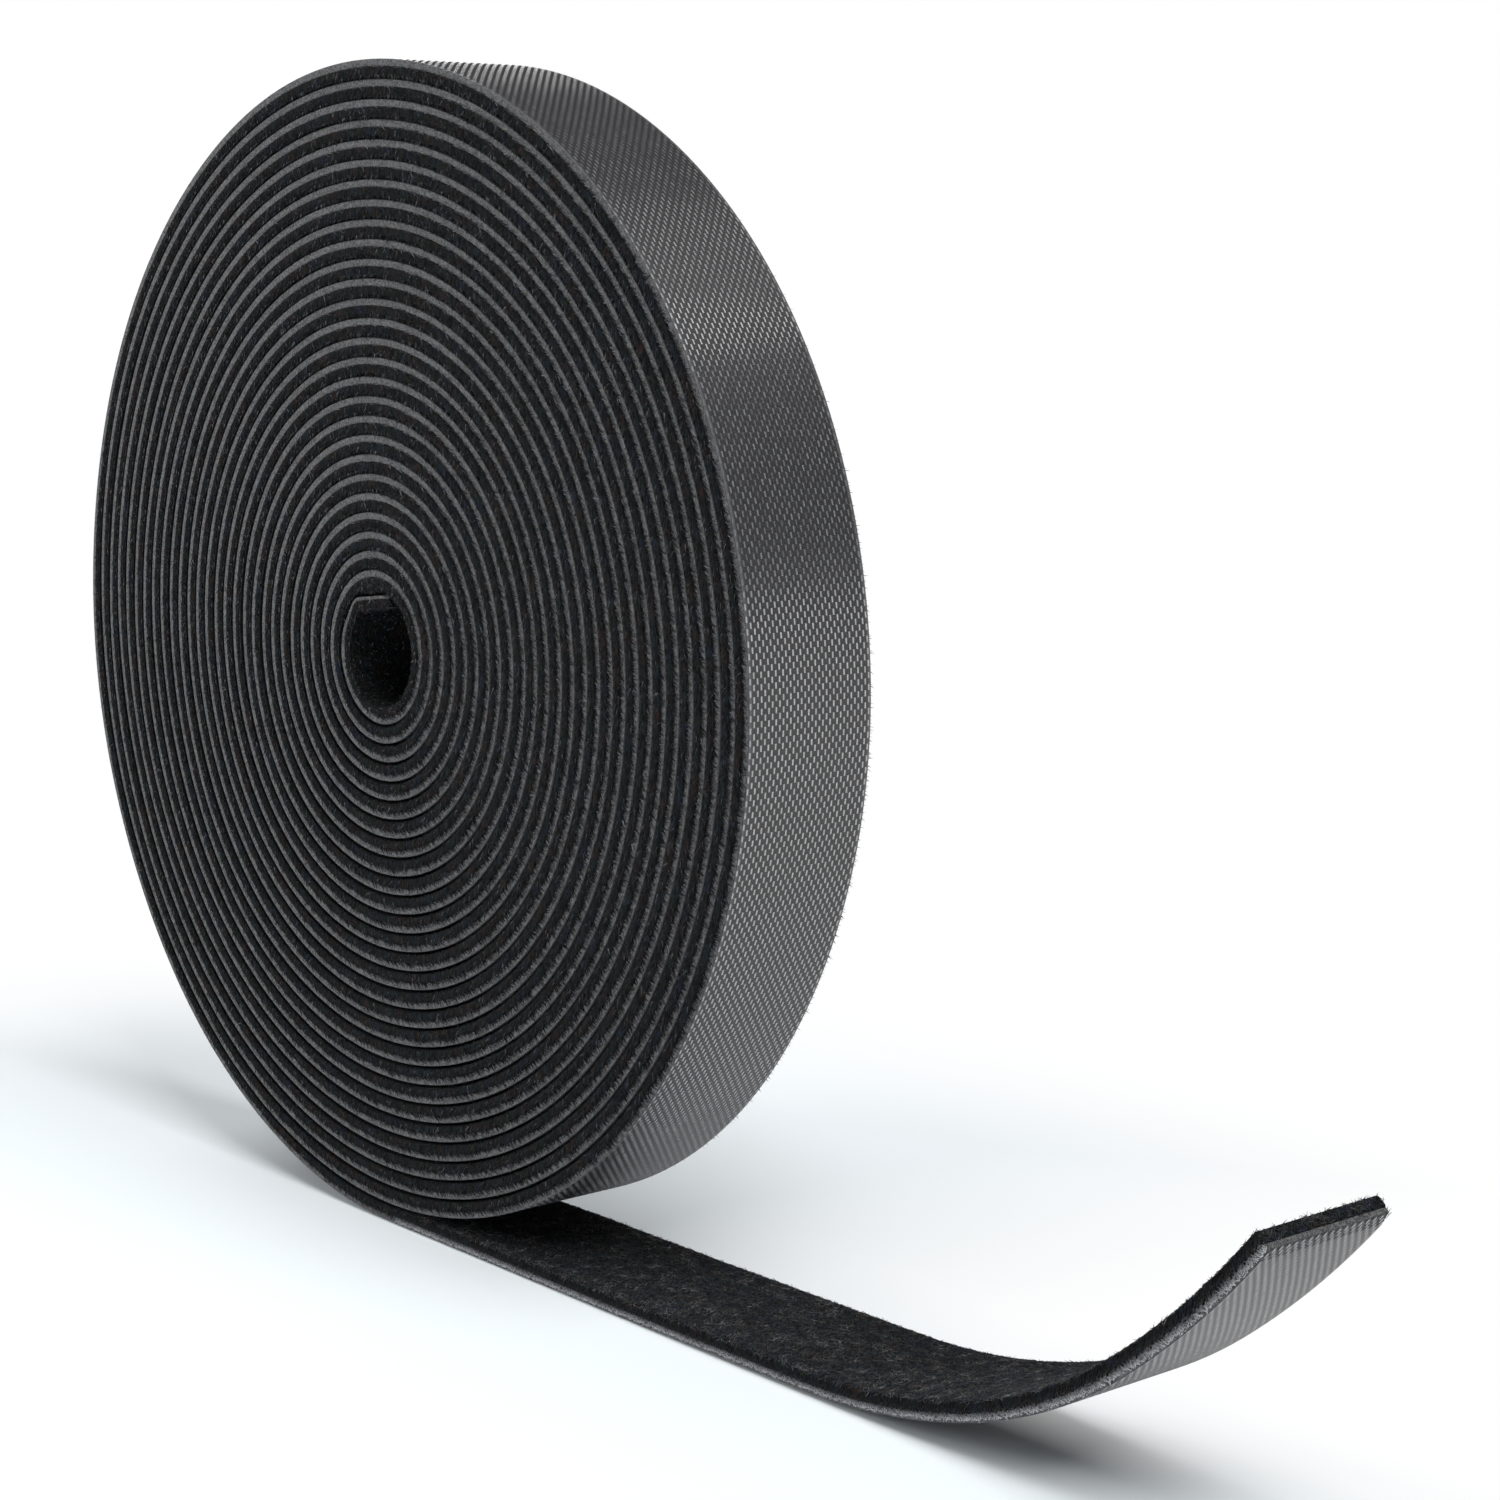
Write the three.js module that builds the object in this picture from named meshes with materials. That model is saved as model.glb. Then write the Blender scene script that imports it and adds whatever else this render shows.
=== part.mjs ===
// Hook and loop tape on a roll: a woven hook tape and a napped loop tape, bonded back to back,
// wound without a core, hook side out, with the free tail laid on the table and curling up at its end.
//
// Millimetres, +Z up. The origin is on the table, under the roll's axis and halfway across the tape.
// The roll's axis runs along Y, and the tail leaves the bottom of the roll towards +X.

import * as THREE from 'three';

// Tape section
const TAPE_WIDTH = 20;
const HOOK_THICKNESS = 1.0;
const LOOP_THICKNESS = 1.6;

// Winding, from the free eye outwards
const EYE_RADIUS = 6.6;
const TURN_GAP = 0.55;
const WHOLE_TURNS = 23;
const STEPS_PER_TURN = 24;

// Inner end of the tape: a straight flap across the top of the eye
const FLAP_ROOT_ANGLE = THREE.MathUtils.degToRad(140);
const FLAP_SWEEP = THREE.MathUtils.degToRad(75);
const FLAP_TIP_GAP = 0.7;

// Tail: a flat run on the table, then a run that keeps the curl of the roll
const TAIL_FLAT_LENGTH = 82.5;
const TAIL_CURL_LENGTH = 80.5;
const TAIL_CURL_RADIUS = 81;
const STRETCHES_PER_RUN = 4;
const CURL_STEPS = 3;
const CREASE_GAP = 0.5;

// Sizes that follow from these
const TAPE_THICKNESS = HOOK_THICKNESS + LOOP_THICKNESS;
const TURN_PITCH = TAPE_THICKNESS + TURN_GAP;
const FULL_TURN = 2 * Math.PI;
const STEP_ANGLE = FULL_TURN / STEPS_PER_TURN;
const BOTTOM_ANGLE = (WHOLE_TURNS + 0.75) * FULL_TURN;
const FOOT_ANGLE = BOTTOM_ANGLE - STEP_ANGLE / 2;
const COIL_STEPS = Math.round((FOOT_ANGLE - FLAP_ROOT_ANGLE) / STEP_ANGLE);
const START_ANGLE = FOOT_ANGLE - COIL_STEPS * STEP_ANGLE;
const ROLL_RADIUS = bondRadius(BOTTOM_ANGLE) + HOOK_THICKNESS;
const FOOT_HALF_LENGTH = ROLL_RADIUS * Math.tan(STEP_ANGLE / 2);

const hookWeave = {
  color: 0x5e5f62,
  roughness: 0.7,
  metalness: 0,
};
const loopPile = {
  color: 0x1b1b1e,
  roughness: 0.95,
  metalness: 0,
};

// Radius of the bond between the two layers, on an even spiral that grows one pitch a turn.
function bondRadius(angle) {
  const turns = (angle - START_ANGLE) / FULL_TURN;
  return EYE_RADIUS + LOOP_THICKNESS + TURN_PITCH * turns;
}

function polar(radius, angle) {
  return new THREE.Vector2(radius * Math.cos(angle), radius * Math.sin(angle));
}

// The bond line of the coil in the XZ plane about the roll's axis, from the flap's tip to the tail.
// The last turn drops to the table, where the roll stands on one flat step of the tape.
function coilBondLine() {
  const tipAngle = START_ANGLE - FLAP_SWEEP;
  const tipRadius = bondRadius(tipAngle + FULL_TURN) - TAPE_THICKNESS - FLAP_TIP_GAP;
  const line = [polar(tipRadius, tipAngle)];
  for (let step = 0; step < COIL_STEPS; step += 1) {
    const angle = START_ANGLE + step * STEP_ANGLE;
    line.push(polar(bondRadius(angle), angle));
  }
  const tableBond = HOOK_THICKNESS - ROLL_RADIUS;
  line.push(new THREE.Vector2(-FOOT_HALF_LENGTH, tableBond));
  line.push(new THREE.Vector2(FOOT_HALF_LENGTH, tableBond));
  return line;
}

// Stations along a bond line. Each has a vector to the hook side, mitred at the corners,
// so that every straight step of a layer keeps its full thickness.
function mitredStations(line) {
  const hookSides = [];
  for (let i = 0; i + 1 < line.length; i += 1) {
    const along = line[i + 1].clone().sub(line[i]).normalize();
    hookSides.push(new THREE.Vector2(along.y, -along.x));
  }
  return line.map((point, i) => {
    const before = hookSides[Math.max(i - 1, 0)];
    const after = hookSides[Math.min(i, hookSides.length - 1)];
    const mitre = before.clone().add(after).normalize();
    return { point, hookSide: mitre.divideScalar(mitre.dot(after)) };
  });
}

function offsetPoint(station, distance) {
  return station.point.clone().addScaledVector(station.hookSide, distance);
}

// One layer of tape between two distances from the bond line, extruded across the tape's width.
function layerGeometry(stations, innerDistance, outerDistance) {
  const inner = stations.map((station) => offsetPoint(station, innerDistance));
  const outer = stations.map((station) => offsetPoint(station, outerDistance));
  const outline = new THREE.Shape([...inner, ...outer.reverse()]);
  const layer = new THREE.ExtrudeGeometry(outline, { depth: TAPE_WIDTH, bevelEnabled: false });
  layer.rotateX(Math.PI / 2);
  layer.translate(0, TAPE_WIDTH / 2, 0);
  return layer;
}

// The hook layer and the loop layer over the same stations, face to face at the bond.
function tapeMeshes(stations, suffix) {
  const hook = new THREE.Mesh(
    layerGeometry(stations, 0, HOOK_THICKNESS),
    new THREE.MeshStandardMaterial(hookWeave),
  );
  hook.name = `hook_tape_${suffix}`;
  const loop = new THREE.Mesh(
    layerGeometry(stations, -LOOP_THICKNESS, 0),
    new THREE.MeshStandardMaterial(loopPile),
  );
  loop.name = `loop_tape_${suffix}`;
  return [hook, loop];
}

// Least distance between the hook face of one turn and the loop face of the turn around it,
// measured on points spread along both faces.
function leastTurnGap(stations) {
  const pointsPerStep = 4;
  const hookFace = [];
  const loopFace = [];
  for (let i = 0; i + 1 < stations.length; i += 1) {
    for (let part = 0; part < pointsPerStep; part += 1) {
      const share = part / pointsPerStep;
      const hookFrom = offsetPoint(stations[i], HOOK_THICKNESS);
      const loopFrom = offsetPoint(stations[i], -LOOP_THICKNESS);
      hookFace.push(hookFrom.lerp(offsetPoint(stations[i + 1], HOOK_THICKNESS), share));
      loopFace.push(loopFrom.lerp(offsetPoint(stations[i + 1], -LOOP_THICKNESS), share));
    }
  }
  const halfTurn = pointsPerStep * Math.floor(STEPS_PER_TURN / 2);
  let least = Infinity;
  for (let i = 0; i < hookFace.length; i += 1) {
    for (let j = i + halfTurn; j < loopFace.length; j += 1) {
      least = Math.min(least, hookFace[i].distanceTo(loopFace[j]));
    }
  }
  return least;
}

function buildCoil() {
  const coil = new THREE.Group();
  const stations = mitredStations(coilBondLine());
  coil.add(...tapeMeshes(stations, 'coil'));
  coil.position.z = ROLL_RADIUS;
  console.log(`least gap between turns of the coil: ${leastTurnGap(stations).toFixed(2)} mm`);
  return coil;
}

// The bond line of one stretch of the tail from its own crease: straight first, then an arc.
function stretchStation(distance, straightLength) {
  const curl = Math.max(distance - straightLength, 0) / TAIL_CURL_RADIUS;
  const point = new THREE.Vector2(
    Math.min(distance, straightLength) + TAIL_CURL_RADIUS * Math.sin(curl),
    TAIL_CURL_RADIUS * (1 - Math.cos(curl)),
  );
  return { point, hookSide: new THREE.Vector2(Math.sin(curl), -Math.cos(curl)) };
}

// Where a stretch has its stations: at its two ends, where its arc begins, and at the arc's steps.
function stretchDistances(straightLength, curlLength) {
  const from = CREASE_GAP / 2;
  const to = straightLength + curlLength - CREASE_GAP / 2;
  if (curlLength === 0) return [from, to];
  const distances = straightLength > 0 ? [from] : [];
  const curlFrom = Math.max(from, straightLength);
  for (let step = 0; step <= CURL_STEPS; step += 1) {
    distances.push(THREE.MathUtils.lerp(curlFrom, to, step / CURL_STEPS));
  }
  return distances;
}

// One stretch of the tail, with a group at its far crease that carries the next stretch.
function buildStretch(number, straightLength, curlLength) {
  const stretch = new THREE.Group();
  const distances = stretchDistances(straightLength, curlLength);
  const stations = distances.map((distance) => stretchStation(distance, straightLength));
  stretch.add(...tapeMeshes(stations, `tail_${number}`));

  const crease = new THREE.Group();
  const end = stretchStation(straightLength + curlLength, straightLength);
  crease.position.set(end.point.x, 0, end.point.y);
  crease.rotation.y = -curlLength / TAIL_CURL_RADIUS;
  stretch.add(crease);
  return { stretch, crease };
}

// The tail bends at creases. One stretch lies half on the flat run and half on the curled run.
function buildTail() {
  const flatStretch = TAIL_FLAT_LENGTH / (STRETCHES_PER_RUN + 0.5);
  const curlStretch = TAIL_CURL_LENGTH / (STRETCHES_PER_RUN + 0.5);
  const runs = [
    ...Array(STRETCHES_PER_RUN).fill([flatStretch, 0]),
    [flatStretch / 2, curlStretch / 2],
    ...Array(STRETCHES_PER_RUN).fill([0, curlStretch]),
  ];
  const tail = new THREE.Group();
  tail.position.set(FOOT_HALF_LENGTH + CREASE_GAP / 2, 0, HOOK_THICKNESS);
  let carrier = tail;
  runs.forEach(([straightLength, curlLength], index) => {
    const { stretch, crease } = buildStretch(index + 1, straightLength, curlLength);
    carrier.add(stretch);
    carrier = crease;
  });
  return tail;
}

const tapeRoll = new THREE.Group();
tapeRoll.add(buildCoil(), buildTail());

export default tapeRoll;
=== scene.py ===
"""Looks for a coreless roll of back to back hook and loop tape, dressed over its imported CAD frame.

One tape has two layers, bonded face to face: a thin grey hook weave and a thick black loop pile.
Its bond line runs from a loose flap in the eye of the roll, round 27 turns, along the table and up
the curl of the free tail. Both layers are swept along that one line, so they stay bonded.
Lengths are in metres, in the frame of the CAD model: +Z up, the roll's axis along Y.
"""

import logging
import math
from collections.abc import Callable, Sequence
from dataclasses import dataclass, field
from enum import Enum
from functools import partial

import bpy
import numpy as np
from bpy.types import ID, Material, Mesh, Node, NodeOutputs, NodeSocket, NodeTree, Object
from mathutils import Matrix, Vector

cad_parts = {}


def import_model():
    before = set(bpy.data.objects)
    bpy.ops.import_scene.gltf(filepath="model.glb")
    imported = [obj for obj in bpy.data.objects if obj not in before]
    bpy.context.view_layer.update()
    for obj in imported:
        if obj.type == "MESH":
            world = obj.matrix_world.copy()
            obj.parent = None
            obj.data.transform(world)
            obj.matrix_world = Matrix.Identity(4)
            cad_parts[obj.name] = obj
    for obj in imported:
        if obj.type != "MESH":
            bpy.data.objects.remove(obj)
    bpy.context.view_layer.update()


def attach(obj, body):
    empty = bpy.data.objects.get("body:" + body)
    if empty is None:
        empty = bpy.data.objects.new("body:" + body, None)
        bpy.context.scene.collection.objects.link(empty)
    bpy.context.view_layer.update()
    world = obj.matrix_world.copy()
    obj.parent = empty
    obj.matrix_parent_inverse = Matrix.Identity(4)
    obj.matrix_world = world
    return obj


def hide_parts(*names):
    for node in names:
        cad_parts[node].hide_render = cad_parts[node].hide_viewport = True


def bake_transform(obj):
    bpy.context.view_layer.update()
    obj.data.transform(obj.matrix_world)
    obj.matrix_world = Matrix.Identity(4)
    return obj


LOG = logging.getLogger("tape_roll")
MM = 0.001
NYLON_IOR = 1.53
CREASE_ANGLE = math.radians(30)

AddNode = Callable[..., Node]
Inputs = dict[str | int, object] | Sequence[object]
Span = tuple[float, float]
Triple = tuple[float, float, float]
Tones = tuple[tuple[float, str], ...]

# The node types that come up again and again
MATH = "ShaderNodeMath"
VECTOR = "ShaderNodeVectorMath"
RANGE = "ShaderNodeMapRange"
MIX = "ShaderNodeMix"
NOISE = "ShaderNodeTexNoise"
SPLIT = "ShaderNodeSeparateXYZ"
JOIN = "ShaderNodeCombineXYZ"
STORED = "GeometryNodeInputNamedAttribute"
STORE = "GeometryNodeStoreNamedAttribute"
RANDOM = "FunctionNodeRandomValue"
COMPARE = "FunctionNodeCompare"
INSTANCES = "GeometryNodeInstanceOnPoints"


class Layer(Enum):
    """The two layers of the tape, with the side of the bond line that each lies on."""

    HOOK = 1
    LOOP = -1


class Edge(Enum):
    """The two cut edges of the tape, with the sign of their Y."""

    FRONT = -1
    BACK = 1


class Seed(Enum):
    """The fixed seeds of what is strewn by chance."""

    FLOATS = 11
    FRINGE = 23
    NAP = 37


class Root(Enum):
    """What a row of hairs grows from: its height off the bond, spread, and reach past the edge."""

    YARN_ENDS = (0.40 * MM, 0.40 * MM, -0.03 * MM)
    BOND = (-0.15 * MM, 0.12 * MM, 0.05 * MM)
    PILE_RIM = (-1.25 * MM, 0.15 * MM, 0.05 * MM)
    PILE_SIDE = (-0.75 * MM, 0.65 * MM, 0.20 * MM)


def linear(hex_colour: str) -> tuple[float, float, float, float]:
    """Turn an sRGB colour into the linear one that Blender's sockets take.

    Args:
        hex_colour: Six hex digits.

    Returns:
        Red, green, blue and an alpha of 1.
    """
    shares = [int(hex_colour[i : i + 2], 16) / 255 for i in (0, 2, 4)]
    red, green, blue = (
        share / 12.92 if share <= 0.04045 else ((share + 0.055) / 1.055) ** 2.4 for share in shares
    )
    return red, green, blue, 1.0


def set_inputs(tree: NodeTree, node: Node, inputs: Inputs) -> None:
    """Give a node's inputs their values and links.

    Args:
        tree: The node tree that holds the node.
        node: The node.
        inputs: What goes into each input, by name or number, or a sequence for the first ones: a
            value, an output socket to link, or a node, whose first output in use is linked.
    """
    for key, value in inputs.items() if isinstance(inputs, dict) else enumerate(inputs):
        if isinstance(value, Node):
            value = next(output for output in value.outputs if output.enabled)
        if isinstance(value, NodeSocket):
            tree.links.new(value, node.inputs[key])
        else:
            node.inputs[key].default_value = value


def add_node(tree: NodeTree, kind: str, inputs: Inputs = (), **settings: object) -> Node:
    """Add a node with its settings, values and links.

    Args:
        tree: The node tree that gets the node.
        kind: Blender's identifier of the node type.
        inputs: What goes into its inputs.
        settings: The node's own properties.

    Returns:
        The new node.
    """
    node = tree.nodes.new(kind)
    for name, value in settings.items():
        setattr(node, name, value)
    set_inputs(tree, node, inputs)
    return node


def add_ramp(node: AddNode, place: Node | NodeSocket, tones: Tones) -> Node:
    """Add a colour ramp.

    Args:
        node: Adds a node to the material.
        place: The place on the ramp, from 0 to 1.
        tones: The ramp's colours, each with its place.

    Returns:
        The new node.
    """
    ramp = node("ShaderNodeValToRGB", [place])
    stops = ramp.color_ramp.elements
    for number, (position, hex_colour) in enumerate(tones):
        stop = stops[number] if number < 2 else stops.new(position)
        stop.position = position
        stop.color = linear(hex_colour)
    return ramp


def add_mix(node: AddNode, share: Node | NodeSocket, low: Node | str, high: Node | str) -> Node:
    """Add a mix of two colours.

    Args:
        node: Adds a node to the material.
        share: The share of the second colour.
        low: The first colour, as six hex digits or the node that makes it.
        high: The second colour, likewise.

    Returns:
        The new node.
    """
    first, second = (linear(side) if isinstance(side, str) else side for side in (low, high))
    return node(MIX, {0: share, 6: first, 7: second}, data_type="RGBA")


def add_object(name: str, data: ID) -> Object:
    """Put a new object into the scene.

    Args:
        name: The object's name.
        data: Its mesh, lamp or camera.

    Returns:
        The new object.
    """
    made = bpy.data.objects.new(name, data)
    bpy.context.scene.collection.objects.link(made)
    return made


def open_tree(name: str, sizes: dict[str, tuple[str, ...]]) -> tuple[NodeTree, NodeOutputs]:
    """Start a Geometry Nodes tree with a geometry input and output, and named inputs for its sizes.

    Args:
        name: The tree's name.
        sizes: The names of its further inputs, by the kind of socket. Material is always one.

    Returns:
        The tree and the outputs of its group input.
    """
    tree = bpy.data.node_groups.new(name, "GeometryNodeTree")
    for in_out in ("INPUT", "OUTPUT"):
        tree.interface.new_socket("Geometry", in_out=in_out, socket_type="NodeSocketGeometry")
    for kind, labels in {**sizes, "Material": ("Material",)}.items():
        for label in labels:
            tree.interface.new_socket(label, in_out="INPUT", socket_type=f"NodeSocket{kind}")
    return tree, add_node(tree, "NodeGroupInput").outputs


def close_tree(tree: NodeTree, given: NodeOutputs, made: Node) -> NodeTree:
    """End a tree with real faces and their material.

    Args:
        tree: The tree to end.
        given: The outputs of its group input.
        made: The node with what the tree made.

    Returns:
        The same tree.
    """
    real = add_node(tree, "GeometryNodeRealizeInstances", [made])
    look = {"Geometry": real, "Material": given["Material"]}
    add_node(tree, "NodeGroupOutput", [add_node(tree, "GeometryNodeSetMaterial", look)])
    return tree


def grow(tree: NodeTree, source: Mesh, name: str, values: dict[str, object]) -> Object:
    """Run a Geometry Nodes tree on a mesh and keep the result as a plain mesh object.

    Args:
        tree: The tree to run.
        source: The mesh that it starts from.
        name: The new object's name.
        values: A value for each named input of the tree.

    Returns:
        The new object, at the origin, with no modifier.
    """
    piece = add_object(name, source)
    modifier = piece.modifiers.new(tree.name, "NODES")
    modifier.node_group = tree
    for item in tree.interface.items_tree:
        if item.in_out == "INPUT" and item.name in values:
            modifier[item.identifier] = values[item.name]
    graph = bpy.context.evaluated_depsgraph_get()
    mesh = bpy.data.meshes.new_from_object(piece.evaluated_get(graph))
    piece.modifiers.remove(modifier)
    piece.data = mesh
    mesh.name = name
    LOG.info("%s: %d triangles", name, sum(len(face.vertices) - 2 for face in mesh.polygons))
    return piece


@dataclass(frozen=True)
class Finish:
    """A nylon finish: the name of the real material, and how it takes the light."""

    name: str = "nylon"
    roughness: float = 0.5
    ior: float = NYLON_IOR
    specular: float = 0.5

    def look(self, node: AddNode) -> dict[str, object]:
        """Add the nodes that give the finish its colour and relief.

        Args:
            node: Adds a node to the material.

        Returns:
            What goes into the shader's inputs, by name.
        """
        raise NotImplementedError

    def make(self) -> Material:
        """Build the material.

        Returns:
            The new material.
        """
        material = bpy.data.materials.new(self.name)
        material.use_nodes = True
        tree = material.node_tree
        gloss = {"Roughness": self.roughness, "IOR": self.ior, "Specular IOR Level": self.specular}
        inputs = gloss | self.look(partial(add_node, tree))
        set_inputs(tree, tree.nodes["Principled BSDF"], inputs)
        return material


@dataclass(frozen=True)
class HookWeave(Finish):
    """Woven nylon hook tape: a dull dark ground between its floats, and a felted cut edge.

    The ground has a grain of small yarns, and pockets beside each float that sink in its relief
    and are darker, as painted shade. The cut edge is salted with pale and dark specks, because each
    yarn end takes the light in its own way. A speck is a single filament end of about 0.05 mm, drawn
    four times as coarse so that it shows. A thin band of the cut edge next to the face is painted
    dark, as the shade in the crease between them.
    A span is the range of grain, height or distance off the middle over which a look fades in.
    """

    name: str = "woven_nylon_hook_tape"
    roughness: float = 0.42
    specular: float = 0.65
    edge_roughness: float = 0.9
    ground: str = "2c2c2e"
    # painted shade in the pockets beside each float
    pocket_shade: str = "18181a"
    edge_dark: str = "1f1f21"
    edge_light: str = "686869"
    # painted shade in the crease where the cut edge meets the face
    crease_shade: str = "242426"
    selvedge: str = "505052"
    row_spacing: float = 0.745 * MM
    column_spacing: float = 0.585 * MM
    first_column: float = 9.65 * MM
    grain: float = 0.30 * MM
    speck: float = 0.20 * MM
    pocket_depth: float = 0.3
    yarn_span: Span = (0.1, 0.65)
    border_span: Span = (9.3 * MM, 9.8 * MM)
    # where the crease shade is painted on the cut edge, and how dark it gets at most
    crease_shade_span: Span = (0.91 * MM, 0.94 * MM)
    crease_shade_share: float = 0.6
    face_span: Span = (0.97 * MM, 0.995 * MM)
    relief: float = 0.10 * MM
    relief_strength: float = 0.4

    def look(self, node: AddNode) -> dict[str, object]:
        """Add the nodes of the woven face and the cut edge.

        Args:
            node: Adds a node to the material.

        Returns:
            What goes into the shader's inputs, by name.
        """
        place = node("ShaderNodeAttribute", attribute_name="tape").outputs["Vector"]
        parts = node(SPLIT, [place]).outputs
        along = node(MATH, [parts["X"], math.pi / self.row_spacing], operation="MULTIPLY")
        from_edge = node(MATH, [parts["Y"], self.first_column], operation="ADD")
        across = node(MATH, [from_edge, math.pi / self.column_spacing], operation="MULTIPLY")
        rows = node(MATH, [along], operation="SINE")
        columns = node(MATH, [across], operation="SINE")
        crossing = node(MATH, [rows, columns], operation="MULTIPLY")
        pocket = node(MATH, [crossing, crossing], operation="MULTIPLY")
        grain = node(NOISE, {"Vector": place, "Scale": 1 / self.grain, "Detail": 2.0})
        yarns = node(MATH, [pocket, -self.pocket_depth, grain], operation="MULTIPLY_ADD")
        yarn = node(RANGE, [yarns, *self.yarn_span])
        # the grain's own tone, and painted shade where the pockets sink in the relief
        weave = add_mix(node, yarn, self.pocket_shade, self.ground)
        aside = node(MATH, [parts["Y"]], operation="ABSOLUTE")
        at_border = node(RANGE, [aside, *self.border_span])
        face = add_mix(node, at_border, weave, self.selvedge)
        specks = node("ShaderNodeTexVoronoi", {"Vector": place, "Scale": 1 / self.speck})
        chance = node("ShaderNodeSeparateColor", [specks.outputs["Color"]]).outputs["Red"]
        felt = add_mix(node, chance, self.edge_dark, self.edge_light)
        # painted shade: a thin dark band on the cut edge next to the face
        in_crease_shade = node(RANGE, [parts["Z"], *self.crease_shade_span, 0.0, self.crease_shade_share])
        edge = add_mix(node, in_crease_shade, felt, self.crease_shade)
        on_face = node(RANGE, [parts["Z"], *self.face_span])
        relief = {"Height": yarns, "Strength": self.relief_strength, "Distance": self.relief}
        return {
            "Base Color": add_mix(node, on_face, edge, face),
            "Roughness": node(RANGE, [on_face, 0.0, 1.0, self.edge_roughness, self.roughness]),
            "Normal": node("ShaderNodeBump", relief),
        }


@dataclass(frozen=True)
class TonedFibre(Finish):
    """Nylon fibres that each have a tone of their own, from a row of colours with their places."""

    tones: Tones = ()

    def look(self, node: AddNode) -> dict[str, object]:
        """Add the nodes that give each fibre its tone.

        Args:
            node: Adds a node to the material.

        Returns:
            What goes into the shader's inputs, by name.
        """
        tone = node("ShaderNodeAttribute", attribute_name="tone").outputs["Fac"]
        return {"Base Color": add_ramp(node, tone, self.tones)}


@dataclass(frozen=True)
class FloatYarn(TonedFibre):
    """Drawn nylon yarn where it floats over the weave: smooth, so a float flashes as a short dash.

    Its many filaments glint more than plain nylon would, so its index is set above nylon's.
    """

    name: str = "drawn_nylon_float_yarn"
    roughness: float = 0.15
    ior: float = 2.2
    specular: float = 1.0
    tones: Tones = ((0.0, "58585b"), (1.0, "808083"))


@dataclass(frozen=True)
class CutFringe(TonedFibre):
    """Nylon yarn ends, cut along the hook layer's edge: pale and dark hairs that stand off it."""

    name: str = "cut_nylon_yarn_ends"
    roughness: float = 0.7
    specular: float = 0.3
    # pale tones: partly the yarn ends' own grey, partly painted light on the tail's cut edge
    tones: Tones = ((0.0, "6c6c6e"), (1.0, "cacacc"))


@dataclass(frozen=True)
class LoopPile(Finish):
    """Brushed nylon loop pile: black felt with no gloss, whose packed loops show as soft mottling.

    The dye isn't even, so broad patches lean to blue, green or brown. On an upright edge the loops
    hang, so their mottling is drawn out downwards. Where the tufts sink in the relief, the mottling
    is painted near black, as painted shade between them.
    """

    name: str = "brushed_nylon_loop_pile"
    roughness: float = 0.95
    specular: float = 0.1
    hues: Tones = ((0.0, "1d2230"), (1 / 3, "17201c"), (2 / 3, "1d1d1f"), (1.0, "2b211d"))
    # painted shade between the tufts, where they sink in the relief
    tuft_shade: str = "040405"
    tuft: float = 0.40 * MM
    tuft_span: Span = (0.35, 0.65)
    patch: float = 2.2 * MM
    patch_span: Span = (0.3, 0.7)
    hang: Triple = (1.0, 1.0, 0.4)
    relief: float = 0.15 * MM
    relief_strength: float = 0.8

    def look(self, node: AddNode) -> dict[str, object]:
        """Add the nodes of the patches and the tufts.

        Args:
            node: Adds a node to the material.

        Returns:
            What goes into the shader's inputs, by name.
        """
        place = node("ShaderNodeTexCoord").outputs["Object"]
        patches = node(NOISE, {"Vector": place, "Scale": 1 / self.patch, "Detail": 1.0})
        dye = add_ramp(node, node(RANGE, [patches, *self.patch_span]), self.hues)
        hanging = node(VECTOR, [place, self.hang], operation="MULTIPLY")
        tufts = node(NOISE, {"Vector": hanging, "Scale": 1 / self.tuft, "Detail": 3.0})
        # low tufts take the painted shade, high ones the dye
        share = node(RANGE, [tufts, *self.tuft_span])
        relief = {"Height": tufts, "Strength": self.relief_strength, "Distance": self.relief}
        return {
            "Base Color": add_mix(node, share, self.tuft_shade, dye),
            "Normal": node("ShaderNodeBump", relief),
        }


@dataclass(frozen=True)
class NapHair(TonedFibre):
    """Loose nylon hairs of the nap: mostly near black, some faded to blue, green, brown or grey.

    A real hair is about 0.02 mm thick, drawn three times as coarse so that it shows.
    """

    name: str = "loose_nylon_nap"
    roughness: float = 0.75
    specular: float = 0.2
    tones: Tones = (
        (0.0, "09090a"),
        (0.30, "141416"),
        (0.50, "20242d"),
        (0.64, "222825"),
        (0.76, "332b26"),
        (0.88, "47484d"),
        (1.0, "74757b"),
    )


@dataclass(frozen=True)
class BrushedNapPaintedLight(NapHair):
    """Nap on the open face of the pile: brushed loops that lie over it and catch more light."""

    name: str = "brushed_nylon_nap"
    # paler tones than the loose nap: painted light on the upward brushed face
    tones: Tones = (
        (0.0, "121315"),
        (0.25, "242529"),
        (0.45, "363b46"),
        (0.60, "3a403d"),
        (0.75, "4c463f"),
        (0.88, "68696e"),
        (1.0, "94959a"),
    )


@dataclass(frozen=True)
class Profile:
    """The section of one swept layer: its side of the bond, its sizes and its rounded corners."""

    layer: Layer
    width: float
    thickness: float
    corner: float
    corner_steps: int


@dataclass(frozen=True)
class TapeSection:
    """The laminated tape's section, laid flat.

    The pile's edges stand a little proud of the hook layer's. Pressed pile fills the space between
    two turns, set in from the edges, so that no light gets through the roll. Wound is the share of
    its thickness that pile keeps on the roll.
    """

    wound: float = 1.25 / 1.6
    hook: Profile = Profile(Layer.HOOK, 20.0 * MM, 1.0 * MM, 0.08 * MM, 1)
    pile: Profile = Profile(Layer.LOOP, 20.4 * MM, 1.6 * MM, 0.35 * MM, 3)
    pressed: Profile = Profile(Layer.LOOP, 16.0 * MM, 1.62 * MM / wound, 0.08 * MM, 1)


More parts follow.
